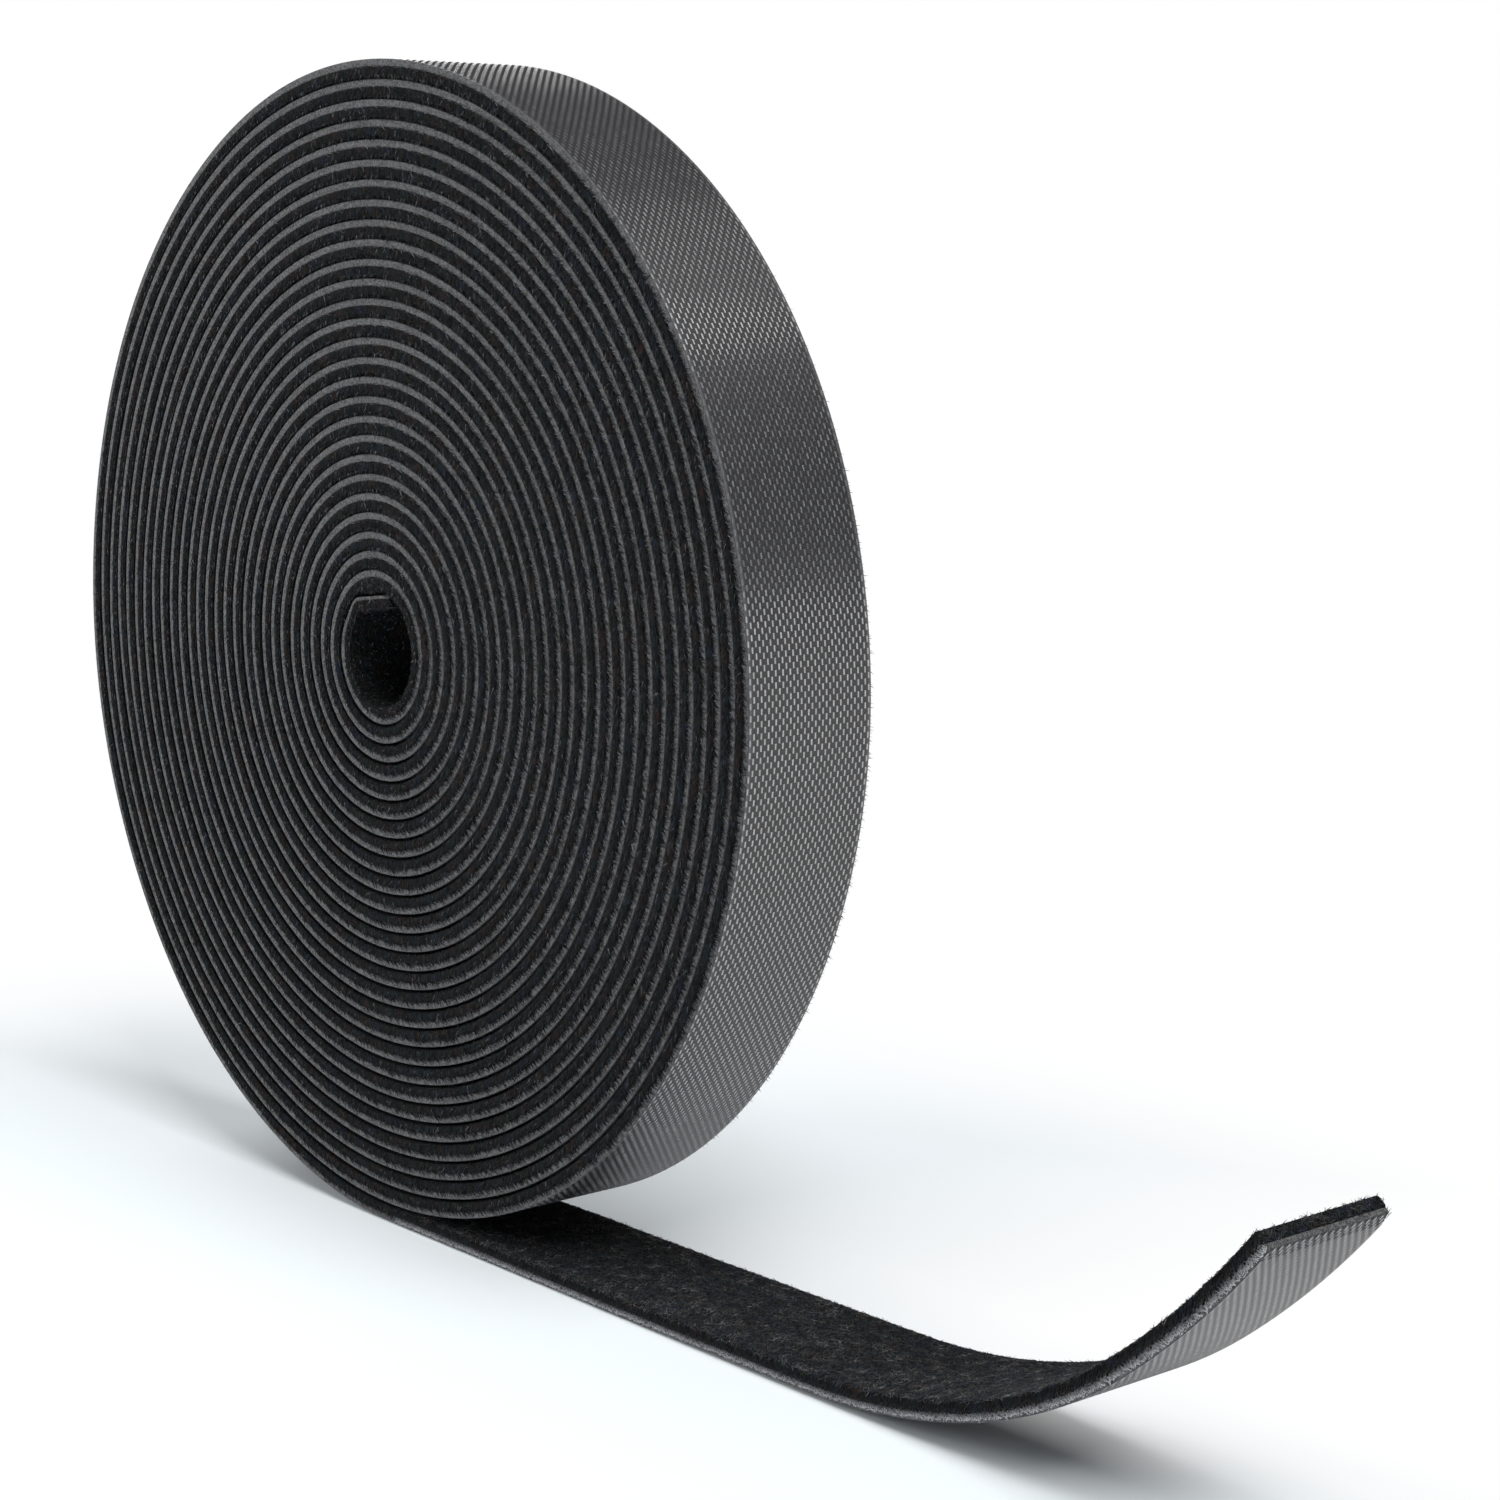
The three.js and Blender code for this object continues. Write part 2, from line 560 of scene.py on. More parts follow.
@dataclass(frozen=True)
class BondLine:
    """The line where the two layers meet, from the flap's tip in the eye to the tail's tip.

    It lies in the XZ plane. Angles count about the roll's axis from +X towards +Z, over all turns.
    The tail's turns are its slopes in radians, at lengths of tape past the bottom of the roll.
    Hook start and tip are the hook layer's shares of its full thickness, at lengths from an end.
    Each wave of the sway has a share, a wavelength and a phase.
    """

    section: TapeSection = field(default_factory=TapeSection)
    axis_height: float = 82.766 * MM
    pitch: float = 2.688 * MM
    whole_turns: int = 27
    flap_root_angle: float = math.radians(150)
    flap_corner_angle: float = math.radians(130)
    flap_corner_lift: float = 0.65 * MM
    flap_tip_angle: float = math.radians(69)
    flap_tip_radius: float = 8.35 * MM
    flap_bend: float = 1.0 * MM
    flap_stations: int = 5
    bend_stations: int = 7
    flap_bulge: float = 1.0 * MM
    over_flap: Span = (40 * MM, 80 * MM)
    tail_length: float = 174.146 * MM
    tail_turns: tuple[Span, ...] = (
        (0.0, 0.0),
        (45.0 * MM, 0.0),
        (57.0 * MM, 0.009),
        (92.0 * MM, 0.011),
        (120.0 * MM, 0.295),
        (147.0 * MM, 0.657),
        (174.146 * MM, 0.880),
    )
    tail_stations: int = 89
    longest_step: float = 2.4 * MM
    steps_per_turn: int = 48
    sway: float = 0.10 * MM
    sway_waves: tuple[Triple, ...] = ((0.6, 0.1370, 0.4), (0.4, 0.0613, 1.9))
    calm_length: float = 40 * MM
    unwound_length: float = 25 * MM
    hook_start: tuple[Span, ...] = (
        (0.0, 0.15),
        (1.5 * MM, 0.5),
        (9 * MM, 0.5),
        (16 * MM, 1.0),
    )
    hook_tip: tuple[Span, ...] = ((0.0, 0.6), (1.2 * MM, 1.0))

    @property
    def bottom_angle(self) -> float:
        """The angle at which the last turn reaches the table."""
        return math.radians(270) + self.whole_turns * math.tau

    def radius(self, angle: float) -> float:
        """The bond line's distance from the roll's axis on the even spiral, at an angle."""
        bond = self.axis_height - self.section.hook.thickness
        return bond - self.pitch * (self.bottom_angle - angle) / math.tau

    def polar(self, radius: float, angle: float) -> np.ndarray:
        """A point in the XZ plane, from its place about the roll's axis."""
        return np.array([radius * math.cos(angle), self.axis_height + radius * math.sin(angle)])

    def flap_points(self) -> list[np.ndarray]:
        """Lay the straight flap across the top of the eye, and its bend into the first turn.

        Returns:
            Points from the flap's tip to just before the spiral.
        """
        tip = self.polar(self.flap_tip_radius, self.flap_tip_angle)
        reach = self.radius(self.flap_corner_angle) + self.flap_corner_lift
        corner = self.polar(reach, self.flap_corner_angle)
        root = self.polar(self.radius(self.flap_root_angle), self.flap_root_angle)
        before, after = (
            corner + (end - corner) * self.flap_bend / float(np.linalg.norm(end - corner))
            for end in (tip, root)
        )
        straight = [tip + (before - tip) * share for share in np.linspace(0, 1, self.flap_stations)]
        bend = [
            before * (1 - t) ** 2 + corner * 2 * t * (1 - t) + after * t**2
            for t in np.linspace(0, 1, self.bend_stations)[1:]
        ]
        return straight + bend

    def spiral_points(self) -> list[np.ndarray]:
        """Lay the turns, from the eye to the table.

        Returns:
            Points from the end of the flap to the bottom of the last turn.
        """
        points, angle = [], self.flap_root_angle
        while angle < self.bottom_angle - 1e-6:
            radius = self.radius(angle)
            points.append(self.polar(radius, angle))
            angle += min(math.tau / self.steps_per_turn, self.longest_step / radius)
        points.append(self.polar(self.radius(self.bottom_angle), self.bottom_angle))
        return points

    def tail_points(self) -> list[np.ndarray]:
        """Lay the tail along the table, off it and up its curl.

        Returns:
            Points from just after the bottom of the roll to the tail's tip.
        """
        lengths, step = np.linspace(0, self.tail_length, self.tail_stations, retstep=True)
        turns = np.interp(lengths[1:] - step / 2, *np.array(self.tail_turns).T)
        x, z = np.cumsum(np.cos(turns)) * step, np.cumsum(np.sin(turns)) * step
        return list(np.column_stack([x, self.section.hook.thickness + z]))

    def stations(self) -> np.ndarray:
        """Lay the whole line.

        Returns:
            One row for each station: X, Z, the X and Z of the unit vector to the hook side, and the
            length of tape from the flap's tip.
        """
        points = np.array(self.flap_points() + self.spiral_points() + self.tail_points())
        steps = np.linalg.norm(np.diff(points, axis=0), axis=1)
        lengths = np.concatenate([[0.0], np.cumsum(steps)])
        along = np.gradient(points, lengths, axis=0)
        along /= np.linalg.norm(along, axis=1, keepdims=True)
        return np.column_stack([points, along[:, 1], -along[:, 0], lengths])

    def length_at_bottom(self) -> float:
        """The length of tape from the flap's tip to where the last turn meets the table."""
        return float(self.stations()[-1, 4]) - self.tail_length

    def length_of_turns(self, turns: float) -> float:
        """The length of the last turns of the roll, counted back from the table."""
        inner = self.radius(self.bottom_angle - turns * math.tau)
        return turns * math.pi * (inner + self.radius(self.bottom_angle))

    def point(self, length: float) -> Vector:
        """Find a point of the bond line.

        Args:
            length: Its length of tape from the flap's tip.

        Returns:
            The point.
        """
        rows = self.stations()
        x, z = (float(np.interp(length, rows[:, 4], rows[:, axis])) for axis in (0, 1))
        return Vector((x, 0.0, z))

    def bulge(self, rows: np.ndarray) -> np.ndarray:
        """Find how much thicker the pile is where it fills the space over the flap.

        Args:
            rows: The stations.

        Returns:
            The added thickness at each station.
        """
        angles = np.arctan2(rows[:, 1] - self.axis_height, rows[:, 0])
        middle = (self.flap_corner_angle + self.flap_tip_angle) / 2
        half = (self.flap_corner_angle - self.flap_tip_angle) / 2
        swell = np.cos(np.clip((angles - middle) / half, -1, 1) * math.pi / 2) ** 2
        first, last = self.over_flap
        return self.flap_bulge * swell * ((rows[:, 4] > first) & (rows[:, 4] < last))

    def thick_share(self, layer: Layer, rows: np.ndarray) -> np.ndarray:
        """Find how thick a layer is, against its thickness laid flat.

        Args:
            layer: The layer.
            rows: The stations.

        Returns:
            The share at each station.
        """
        lengths = rows[:, 4]
        if layer is Layer.HOOK:
            share = np.interp(lengths, *np.array(self.hook_start).T)
            return share * np.interp(lengths[-1] - lengths, *np.array(self.hook_tip).T)
        past_bottom = lengths - self.length_at_bottom()
        share = np.interp(past_bottom, [0, self.unwound_length], [self.section.wound, 1.0])
        return share + self.bulge(rows) / self.section.pile.thickness

    def wire(self, layer: Layer) -> Mesh:
        """Make the line a chain of edges, with what a sweep needs to know at each station.

        Args:
            layer: The layer that will be swept along it.

        Returns:
            A mesh with the point attributes hook_side, bond_length and thick_share.
        """
        rows = self.stations()
        x, z, side_x, side_z, lengths = rows.T
        sway = self.sway * np.clip((self.length_at_bottom() - lengths) / self.calm_length, 0, 1)
        sway *= sum(
            share * np.sin(lengths * math.tau / wavelength + phase)
            for share, wavelength, phase in self.sway_waves
        )
        mesh = bpy.data.meshes.new(f"bond_line_{layer.name.lower()}")
        chain = [(i, i + 1) for i in range(len(rows) - 1)]
        mesh.from_pydata(np.column_stack([x, sway, z]).tolist(), chain, [])
        hook_side = np.column_stack([side_x, np.zeros(len(rows)), side_z])
        for name, kind, key, values in (
            ("hook_side", "FLOAT_VECTOR", "vector", hook_side),
            ("bond_length", "FLOAT", "value", lengths),
            ("thick_share", "FLOAT", "value", self.thick_share(layer, rows)),
        ):
            data = mesh.attributes.new(name, kind, "POINT").data
            data.foreach_set(key, values.astype(np.float32).ravel())
        return mesh


class TapeTrees:
    """The Geometry Nodes trees that make tape: its layers, its weave floats, nap and fringe."""

    UNDERSIDE = -0.1
    OFF_BOND = -0.1 * MM
    HAIR_SIZES = {2: 0.45, 3: 1.3}
    PATCH_SIZE = 2.0 * MM
    PATCH_SPAN = (0.32, 0.68)

    def __init__(self) -> None:
        """Build the four trees."""
        self.layer = self.build_layer()
        self.floats = self.build_floats()
        self.nap = self.build_nap()
        self.fringe = self.build_fringe()

    @staticmethod
    def stretch(node: AddNode, given: NodeOutputs) -> Node:
        """Cut a stretch out of the bond line.

        Args:
            node: Adds a node to the tree.
            given: The outputs of the tree's group input, with From and To.

        Returns:
            The node with the stretch, as a curve.
        """
        wire = node("GeometryNodeMeshToCurve", [given["Geometry"]])
        ends = {0: wire, 4: given["From"], 5: given["To"]}
        return node("GeometryNodeTrimCurve", ends, mode="LENGTH")

    @staticmethod
    def build_layer() -> NodeTree:
        """Sweep a layer's section along a stretch of the bond line.

        Returns:
            The tree. Its result has the point attribute tape: the length along the tape, the place
            across it and the height off the bond line, in metres.
        """
        sizes = ("From", "To", "Width", "Thickness", "Middle", "Corner")
        tree, given = open_tree("tape_layer", {"Float": sizes, "Int": ("Corner Steps",)})
        node = partial(add_node, tree)
        sides = {"Width": given["Width"], "Height": given["Thickness"]}
        oblong = node("GeometryNodeCurvePrimitiveQuadrilateral", sides)
        corners = {"Curve": oblong, "Count": given["Corner Steps"], "Radius": given["Corner"]}
        rounded = node("GeometryNodeFilletCurve", corners, mode="POLY")
        rail = node("GeometryNodeCaptureAttribute", [TapeTrees.stretch(node, given)])
        section = node("GeometryNodeCaptureAttribute", [rounded])
        position = node("GeometryNodeInputPosition")
        for captured, name in ((rail, "Bond"), (section, "Section")):
            captured.capture_items.new("VECTOR", name)
            set_inputs(tree, captured, {1: position})
        sweep = {"Curve": rail, "Profile Curve": section, "Fill Caps": True}
        swept = node("GeometryNodeCurveToMesh", sweep)
        hook_side = node(STORED, {"Name": "hook_side"}, data_type="FLOAT_VECTOR")
        share = node(STORED, {"Name": "thick_share"}, data_type="FLOAT")
        length = node(STORED, {"Name": "bond_length"}, data_type="FLOAT")
        flat = node(SPLIT, [section.outputs[1]]).outputs
        height = node(MATH, [flat["Y"], given["Middle"]], operation="ADD")
        pressed = node(MATH, [height, share], operation="MULTIPLY")
        across = node(MATH, [flat["X"], -1.0], operation="MULTIPLY")
        aside = node(JOIN, {"Y": across})
        off_bond = node(VECTOR, {0: hook_side, "Scale": pressed}, operation="SCALE")
        on_line = node(VECTOR, [rail.outputs[1], aside], operation="ADD")
        placed = node(VECTOR, [on_line, off_bond], operation="ADD")
        shaped = node("GeometryNodeSetPosition", {"Geometry": swept, "Position": placed})
        tape = {"Geometry": shaped, "Name": "tape", "Value": node(JOIN, [length, across, pressed])}
        marked = node(STORE, tape, data_type="FLOAT_VECTOR", domain="POINT")
        smooth = node("GeometryNodeSetShadeSmooth", {"Geometry": marked})
        bend = [node("GeometryNodeInputMeshEdgeAngle"), CREASE_ANGLE]
        sharp = node(COMPARE, bend, operation="GREATER_THAN", data_type="FLOAT")
        crease = {"Geometry": smooth, "Selection": sharp, "Shade Smooth": False}
        creased = node("GeometryNodeSetShadeSmooth", crease, domain="EDGE")
        return close_tree(tree, given, creased)

    @staticmethod
    def build_floats() -> NodeTree:
        """Set yarn floats on the hook face in a brick pattern, row by row along the bond line.

        Returns:
            The tree.
        """
        sizes = {
            "Float": ("From", "To", "Face Height", "Row Spacing", "Column Spacing"),
            "Int": ("Columns", "First Row", "Seed"),
            "Vector": ("Float Size",),
        }
        tree, given = open_tree("weave_floats", sizes)
        node = partial(add_node, tree)
        spread = {"Curve": TapeTrees.stretch(node, given), "Length": given["Row Spacing"]}
        rows = node("GeometryNodeCurveToPoints", spread, mode="LENGTH")
        hook_side = node(STORED, {"Name": "hook_side"}, data_type="FLOAT_VECTOR")
        lift = node(VECTOR, {0: hook_side, "Scale": given["Face Height"]}, operation="SCALE")
        index = node("GeometryNodeInputIndex")
        number = node(MATH, [index, given["First Row"]], operation="ADD")
        odd = node(MATH, [number, 2.0], operation="MODULO")
        stagger = node(MATH, [odd, given["Column Spacing"]], operation="MULTIPLY")
        offset = node(VECTOR, [lift, node(JOIN, {"Y": stagger})], operation="ADD")
        lifted = node("GeometryNodeSetPosition", {"Geometry": rows, "Offset": offset})
        upright = node(
            "FunctionNodeAlignRotationToVector", {"Vector": hook_side}, axis="Z", pivot_axis="Y"
        )
        aim = {"Geometry": lifted, "Name": "aim", "Value": upright}
        aimed = node(STORE, aim, data_type="QUATERNION", domain="POINT")
        step = node(MATH, [given["Column Spacing"], 2.0], operation="MULTIPLY")
        gaps = node(MATH, [given["Columns"], 0.5], operation="SUBTRACT")
        reach = node(MATH, [gaps, given["Column Spacing"]], operation="MULTIPLY")
        first = node(MATH, [reach, -1.0], operation="MULTIPLY")
        line = {
            "Count": given["Columns"],
            "Start Location": node(JOIN, {"Y": first}),
            "Offset": node(JOIN, {"Y": step}),
        }
        row = node("GeometryNodeMeshLine", line)
        grid = node(INSTANCES, {"Points": aimed, "Instance": row})
        spots = node("GeometryNodeRealizeInstances", [grid])
        chance = node(RANDOM, {"Seed": given["Seed"]}, data_type="FLOAT")
        tone = {"Geometry": spots, "Name": "tone", "Value": chance}
        toned = node(STORE, tone, data_type="FLOAT", domain="POINT")
        six_sided = {"Vertices": 6, "Radius": 0.5, "Depth": 1.0}
        bar = node("GeometryNodeMeshCylinder", six_sided, fill_type="NGON")
        lie = {"Geometry": bar, "Rotation": (0.0, math.radians(90), 0.0)}
        flatten = {
            "Geometry": node("GeometryNodeTransform", lie),
            "Rotation": (math.radians(30), 0.0, 0.0),
            "Scale": (1.0, 1.0, 4 / math.sqrt(3)),
        }
        turned = node("GeometryNodeTransform", flatten)
        upward = node(SPLIT, [node("GeometryNodeInputNormal")]).outputs["Z"]
        below = [upward, TapeTrees.UNDERSIDE]
        under = node(COMPARE, below, operation="LESS_THAN", data_type="FLOAT")
        open_below = {"Geometry": turned, "Selection": under}
        yarn = node("GeometryNodeDeleteGeometry", open_below, domain="FACE")
        floats = {
            "Points": toned,
            "Instance": yarn,
            "Rotation": node(STORED, {"Name": "aim"}, data_type="QUATERNION"),
            "Scale": given["Float Size"],
        }
        return close_tree(tree, given, node(INSTANCES, floats))

    @staticmethod
    def build_nap() -> NodeTree:
        """Grow loose hairs out of a pile layer's faces.

        Returns:
            The tree. Facing picks the faces off the bond whose normal is near that direction. Stand
            and Stray are a hair's shares of the face's normal and of a random direction in the
            face. Fall is added to them.
        """
        hair = ("Hair Length", "Hair Radius", "Stand", "Stray", "Patchiness")
        sizes = {
            "Float": ("Least Match", "Density", *hair),
            "Vector": ("Facing", "Fall"),
            "Int": ("Seed",),
        }
        tree, given = open_tree("loop_nap", sizes)
        node = partial(add_node, tree)
        tape = node(STORED, {"Name": "tape"}, data_type="FLOAT_VECTOR")
        height = [node(SPLIT, [tape]).outputs["Z"], TapeTrees.OFF_BOND]
        off_bond = node(COMPARE, height, operation="LESS_THAN", data_type="FLOAT")
        normal = node("GeometryNodeInputNormal")
        match = node(VECTOR, [normal, given["Facing"]], operation="DOT_PRODUCT")
        least = [match, given["Least Match"]]
        faces = node(COMPARE, least, operation="GREATER_EQUAL", data_type="FLOAT")
        strewn = {
            "Mesh": given["Geometry"],
            "Selection": node("FunctionNodeBooleanMath", [off_bond, faces], operation="AND"),
            "Density": given["Density"],
            "Seed": given["Seed"],
        }
        roots = node("GeometryNodeDistributePointsOnFaces", strewn)
        outward = roots.outputs["Normal"]
        span = {0: (-1.0, -1.0, -1.0), 1: (1.0, 1.0, 1.0), "Seed": given["Seed"]}
        chance = node(RANDOM, span, data_type="FLOAT_VECTOR")
        into = node(VECTOR, [chance, outward], operation="PROJECT")
        in_face = node(VECTOR, [chance, into], operation="SUBTRACT")
        return TapeTrees.plant_hairs(tree, given, roots, {"Stand": outward, "Stray": in_face})

    @staticmethod
    def build_fringe() -> NodeTree:
        """Set hairs along one edge of the bond line.

        Returns:
            The tree. Stand, Comb and Stray are a hair's shares of straight off the edge, of the
            direction to the hook side and of a random direction. Fall is added to them.
        """
        row = ("From", "To", "Edge", "Spacing", "Root Height", "Root Spread")
        hair = ("Hair Length", "Hair Radius", "Stand", "Comb", "Stray", "Patchiness")
        sizes = {"Float": (*row, *hair), "Vector": ("Fall",), "Int": ("Seed",)}
        tree, given = open_tree("bond_fringe", sizes)
        node = partial(add_node, tree)
        spread = {"Curve": TapeTrees.stretch(node, given), "Length": given["Spacing"]}
        points = node("GeometryNodeCurveToPoints", spread, mode="LENGTH")
        hook_side = node(STORED, {"Name": "hook_side"}, data_type="FLOAT_VECTOR")
        scatter = node(RANDOM, {2: -1.0, 3: 1.0, "Seed": given["Seed"]}, data_type="FLOAT")
        scattered = [scatter, given["Root Spread"], given["Root Height"]]
        height = node(MATH, scattered, operation="MULTIPLY_ADD")
        lift = node(VECTOR, {0: hook_side, "Scale": height}, operation="SCALE")
        aside = node(JOIN, {"Y": given["Edge"]})
        offset = node(VECTOR, [lift, aside], operation="ADD")
        roots = node("GeometryNodeSetPosition", {"Geometry": points, "Offset": offset})
        outward = node(VECTOR, [aside], operation="NORMALIZE")
        span = {0: (-1.0, -0.4, -1.0), 1: (1.0, 0.4, 1.0), "Seed": given["Seed"]}
        chance = node(RANDOM, span, data_type="FLOAT_VECTOR")
        ways = {"Stand": outward, "Comb": hook_side, "Stray": chance}
        return TapeTrees.plant_hairs(tree, given, roots, ways)

    @staticmethod
    def plant_hairs(
        tree: NodeTree, given: NodeOutputs, roots: Node, ways: dict[str, object]
    ) -> NodeTree:
        """End a tree with a hair on each root: a thin cone of its own length and tone.

        Args:
            tree: The tree to end.
            given: The outputs of its group input. Patchiness is the share of a hair's tone that it
                has in common with its neighbours.
            roots: The node with the points that hairs grow from.
            ways: The directions that a hair goes by, each under the input with its share.

        Returns:
            The same tree.
        """
        node = partial(add_node, tree)
        direction = given["Fall"]
        for share, way in ways.items():
            part = node(VECTOR, {0: way, "Scale": given[share]}, operation="SCALE")
            direction = node(VECTOR, [direction, part], operation="ADD")
        own = node(RANDOM, {"Seed": given["Seed"]}, data_type="FLOAT")
        position = node("GeometryNodeInputPosition")
        scale = 1 / TapeTrees.PATCH_SIZE
        patches = node(NOISE, {"Vector": position, "Scale": scale, "Detail": 1.0})
        patch = node(RANGE, [patches, *TapeTrees.PATCH_SPAN])
        mixed = node(MIX, {0: given["Patchiness"], 2: own, 3: patch}, data_type="FLOAT")
        tone = {"Geometry": roots, "Name": "tone", "Value": mixed}
        toned = node(STORE, tone, data_type="FLOAT", domain="POINT")
        cone = {
            "Vertices": 3,
            "Radius Top": 0.0,
            "Radius Bottom": given["Hair Radius"],
            "Depth": given["Hair Length"],
        }
        sizes = {**TapeTrees.HAIR_SIZES, "Seed": node(MATH, [given["Seed"], 1.0], operation="ADD")}
        hairs = {
            "Points": toned,
            "Instance": node("GeometryNodeMeshCone", cone, fill_type="NONE"),
            "Rotation": node("FunctionNodeAlignRotationToVector", {"Vector": direction}, axis="Z"),
            "Scale": node(RANDOM, sizes, data_type="FLOAT"),
        }
        return close_tree(tree, given, node(INSTANCES, hairs))


@dataclass(frozen=True)
class HairStyle:
    """How a growth of hairs looks: their usual length, their radius, and the way they lean.

    Stand, stray and droop are shares of straight off the surface, of a random direction and of
    straight down. Comb is the share of the direction from the pile to the hook layer, and lean the
    share of +X, the way that the whole roll was brushed. Patchy is how far tones go by patches.
    """

    length: float
    radius: float
    stand: float
    stray: float
    droop: float
    comb: float = 0.0
    lean: float = 0.0
    patchy: float = 0.0

    def values(self) -> dict[str, object]:
        """Give the style as inputs for a tree that plants hairs.

        Returns:
            A value for each input, by name.
        """
        return {
            "Hair Length": self.length,
            "Hair Radius": self.radius,
            "Stand": self.stand,
            "Comb": self.comb,
            "Stray": self.stray,
            "Fall": Vector((self.lean, 0.0, -self.droop)),
            "Patchiness": self.patchy,
        }


@dataclass(frozen=True)
class HairRow:
    """A row of hairs along an edge: what they grow from, their look, and the distance between."""

    root: Root
    style: HairStyle
    spacing: float


@dataclass(frozen=True)
class NapPatch:
    """A growth of nap: its look, its hairs on a square millimetre, and the faces that have it.

    The least match is the least dot product of such a face's normal with the direction that the
    napped faces look, or below zero for all faces off the bond.
    """

    style: HairStyle
    per_mm2: float
    least_match: float = -0.5


@dataclass
class TapeMaker:
    """Makes stretches of finished tape: what the coil and the tail have in common.

    A stretch starts and ends at lengths of tape from the flap's tip.
    """

    line: BondLine = field(default_factory=BondLine)
    weave: HookWeave = field(default_factory=HookWeave)
    float_size: Triple = (0.76 * MM, 0.34 * MM, 0.052 * MM)
    float_sink: float = 0.034 * MM
    floats_in_row: int = 17

    def __post_init__(self) -> None:
        """Build the trees, the wires and the finishes that every stretch shares."""
        self.trees = TapeTrees()
        self.wires = {layer: self.line.wire(layer) for layer in Layer}
        self.hook_weave = self.weave.make()
        self.float_yarn = FloatYarn().make()
        self.cut_fringe = CutFringe().make()
        self.loop_pile = LoopPile().make()
        self.nap_hair = NapHair().make()
        self.brushed_nap_painted_light = BrushedNapPaintedLight().make()

    def sweep(self, name: str, profile: Profile, stretch: Span) -> Object:
        """Sweep one layer of the tape.

        Args:
            name: The piece's name.
            profile: The layer's section.
            stretch: Where it starts and ends.

        Returns:
            The new piece.
        """
        of_hook = profile.layer is Layer.HOOK
        values = {
            "From": stretch[0],
            "To": stretch[1],
            "Width": profile.width,
            "Thickness": profile.thickness,
            "Middle": profile.layer.value * profile.thickness / 2,
            "Corner": profile.corner,
            "Corner Steps": profile.corner_steps,
            "Material": self.hook_weave if of_hook else self.loop_pile,
        }
        piece = grow(self.trees.layer, self.wires[profile.layer], name, values)
        return piece

    def weave_floats(self, name: str, stretch: Span) -> Object:
        """Set the yarn floats on the hook face.

        Args:
            name: The piece's name.
            stretch: Where they start and end.

        Returns:
            The new piece.
        """
        spacing = self.weave.row_spacing
        first, past = (math.ceil(place / spacing) for place in stretch)
        values = {
            "From": first * spacing,
            "To": (past - 1) * spacing,
            "First Row": first,
            "Face Height": self.line.section.hook.thickness - self.float_sink,
            "Row Spacing": spacing,
            "Column Spacing": self.weave.column_spacing,
            "Columns": self.floats_in_row,
            "Float Size": self.float_size,
            "Seed": Seed.FLOATS.value,
            "Material": self.float_yarn,
        }
        return grow(self.trees.floats, self.wires[Layer.HOOK], name, values)

    def fringe(self, name: str, stretch: Span, edge: Edge, row: HairRow) -> Object:
        """Set a row of hairs along one edge of the tape.

        Args:
            name: The piece's name.
            stretch: Where they start and end.
            edge: The edge of the tape.
            row: The row of hairs.

        Returns:
            The new piece.
        """
        height, spread, proud = row.root.value
        of_hook = row.root is Root.YARN_ENDS
        values = {
            "From": stretch[0],
            "To": stretch[1],
            "Edge": edge.value * (self.line.section.hook.width / 2 + proud),
            "Spacing": row.spacing,
            "Root Height": height,
            "Root Spread": spread,
            "Seed": Seed.FRINGE.value,
            "Material": self.cut_fringe if of_hook else self.nap_hair,
            **row.style.values(),
        }
        piece = grow(self.trees.fringe, self.wires[Layer.HOOK], name, values)
        return piece

    def nap(
        self, name: str, pile: Object, patch: NapPatch, material: Material, facing: Vector
    ) -> Object:
        """Grow the nap out of a stretch of pile.

        Args:
            name: The piece's name.
            pile: The pile's piece.
            patch: The growth of nap.
            material: The hairs' material.
            facing: The direction that the napped faces look.

        Returns:
            The new piece.
        """
        values = {
            "Facing": facing,
            "Least Match": patch.least_match,
            "Density": patch.per_mm2 / MM**2,
            "Seed": Seed.NAP.value,
            "Material": material,
            **patch.style.values(),
        }
        return grow(self.trees.nap, pile.data, name, values)


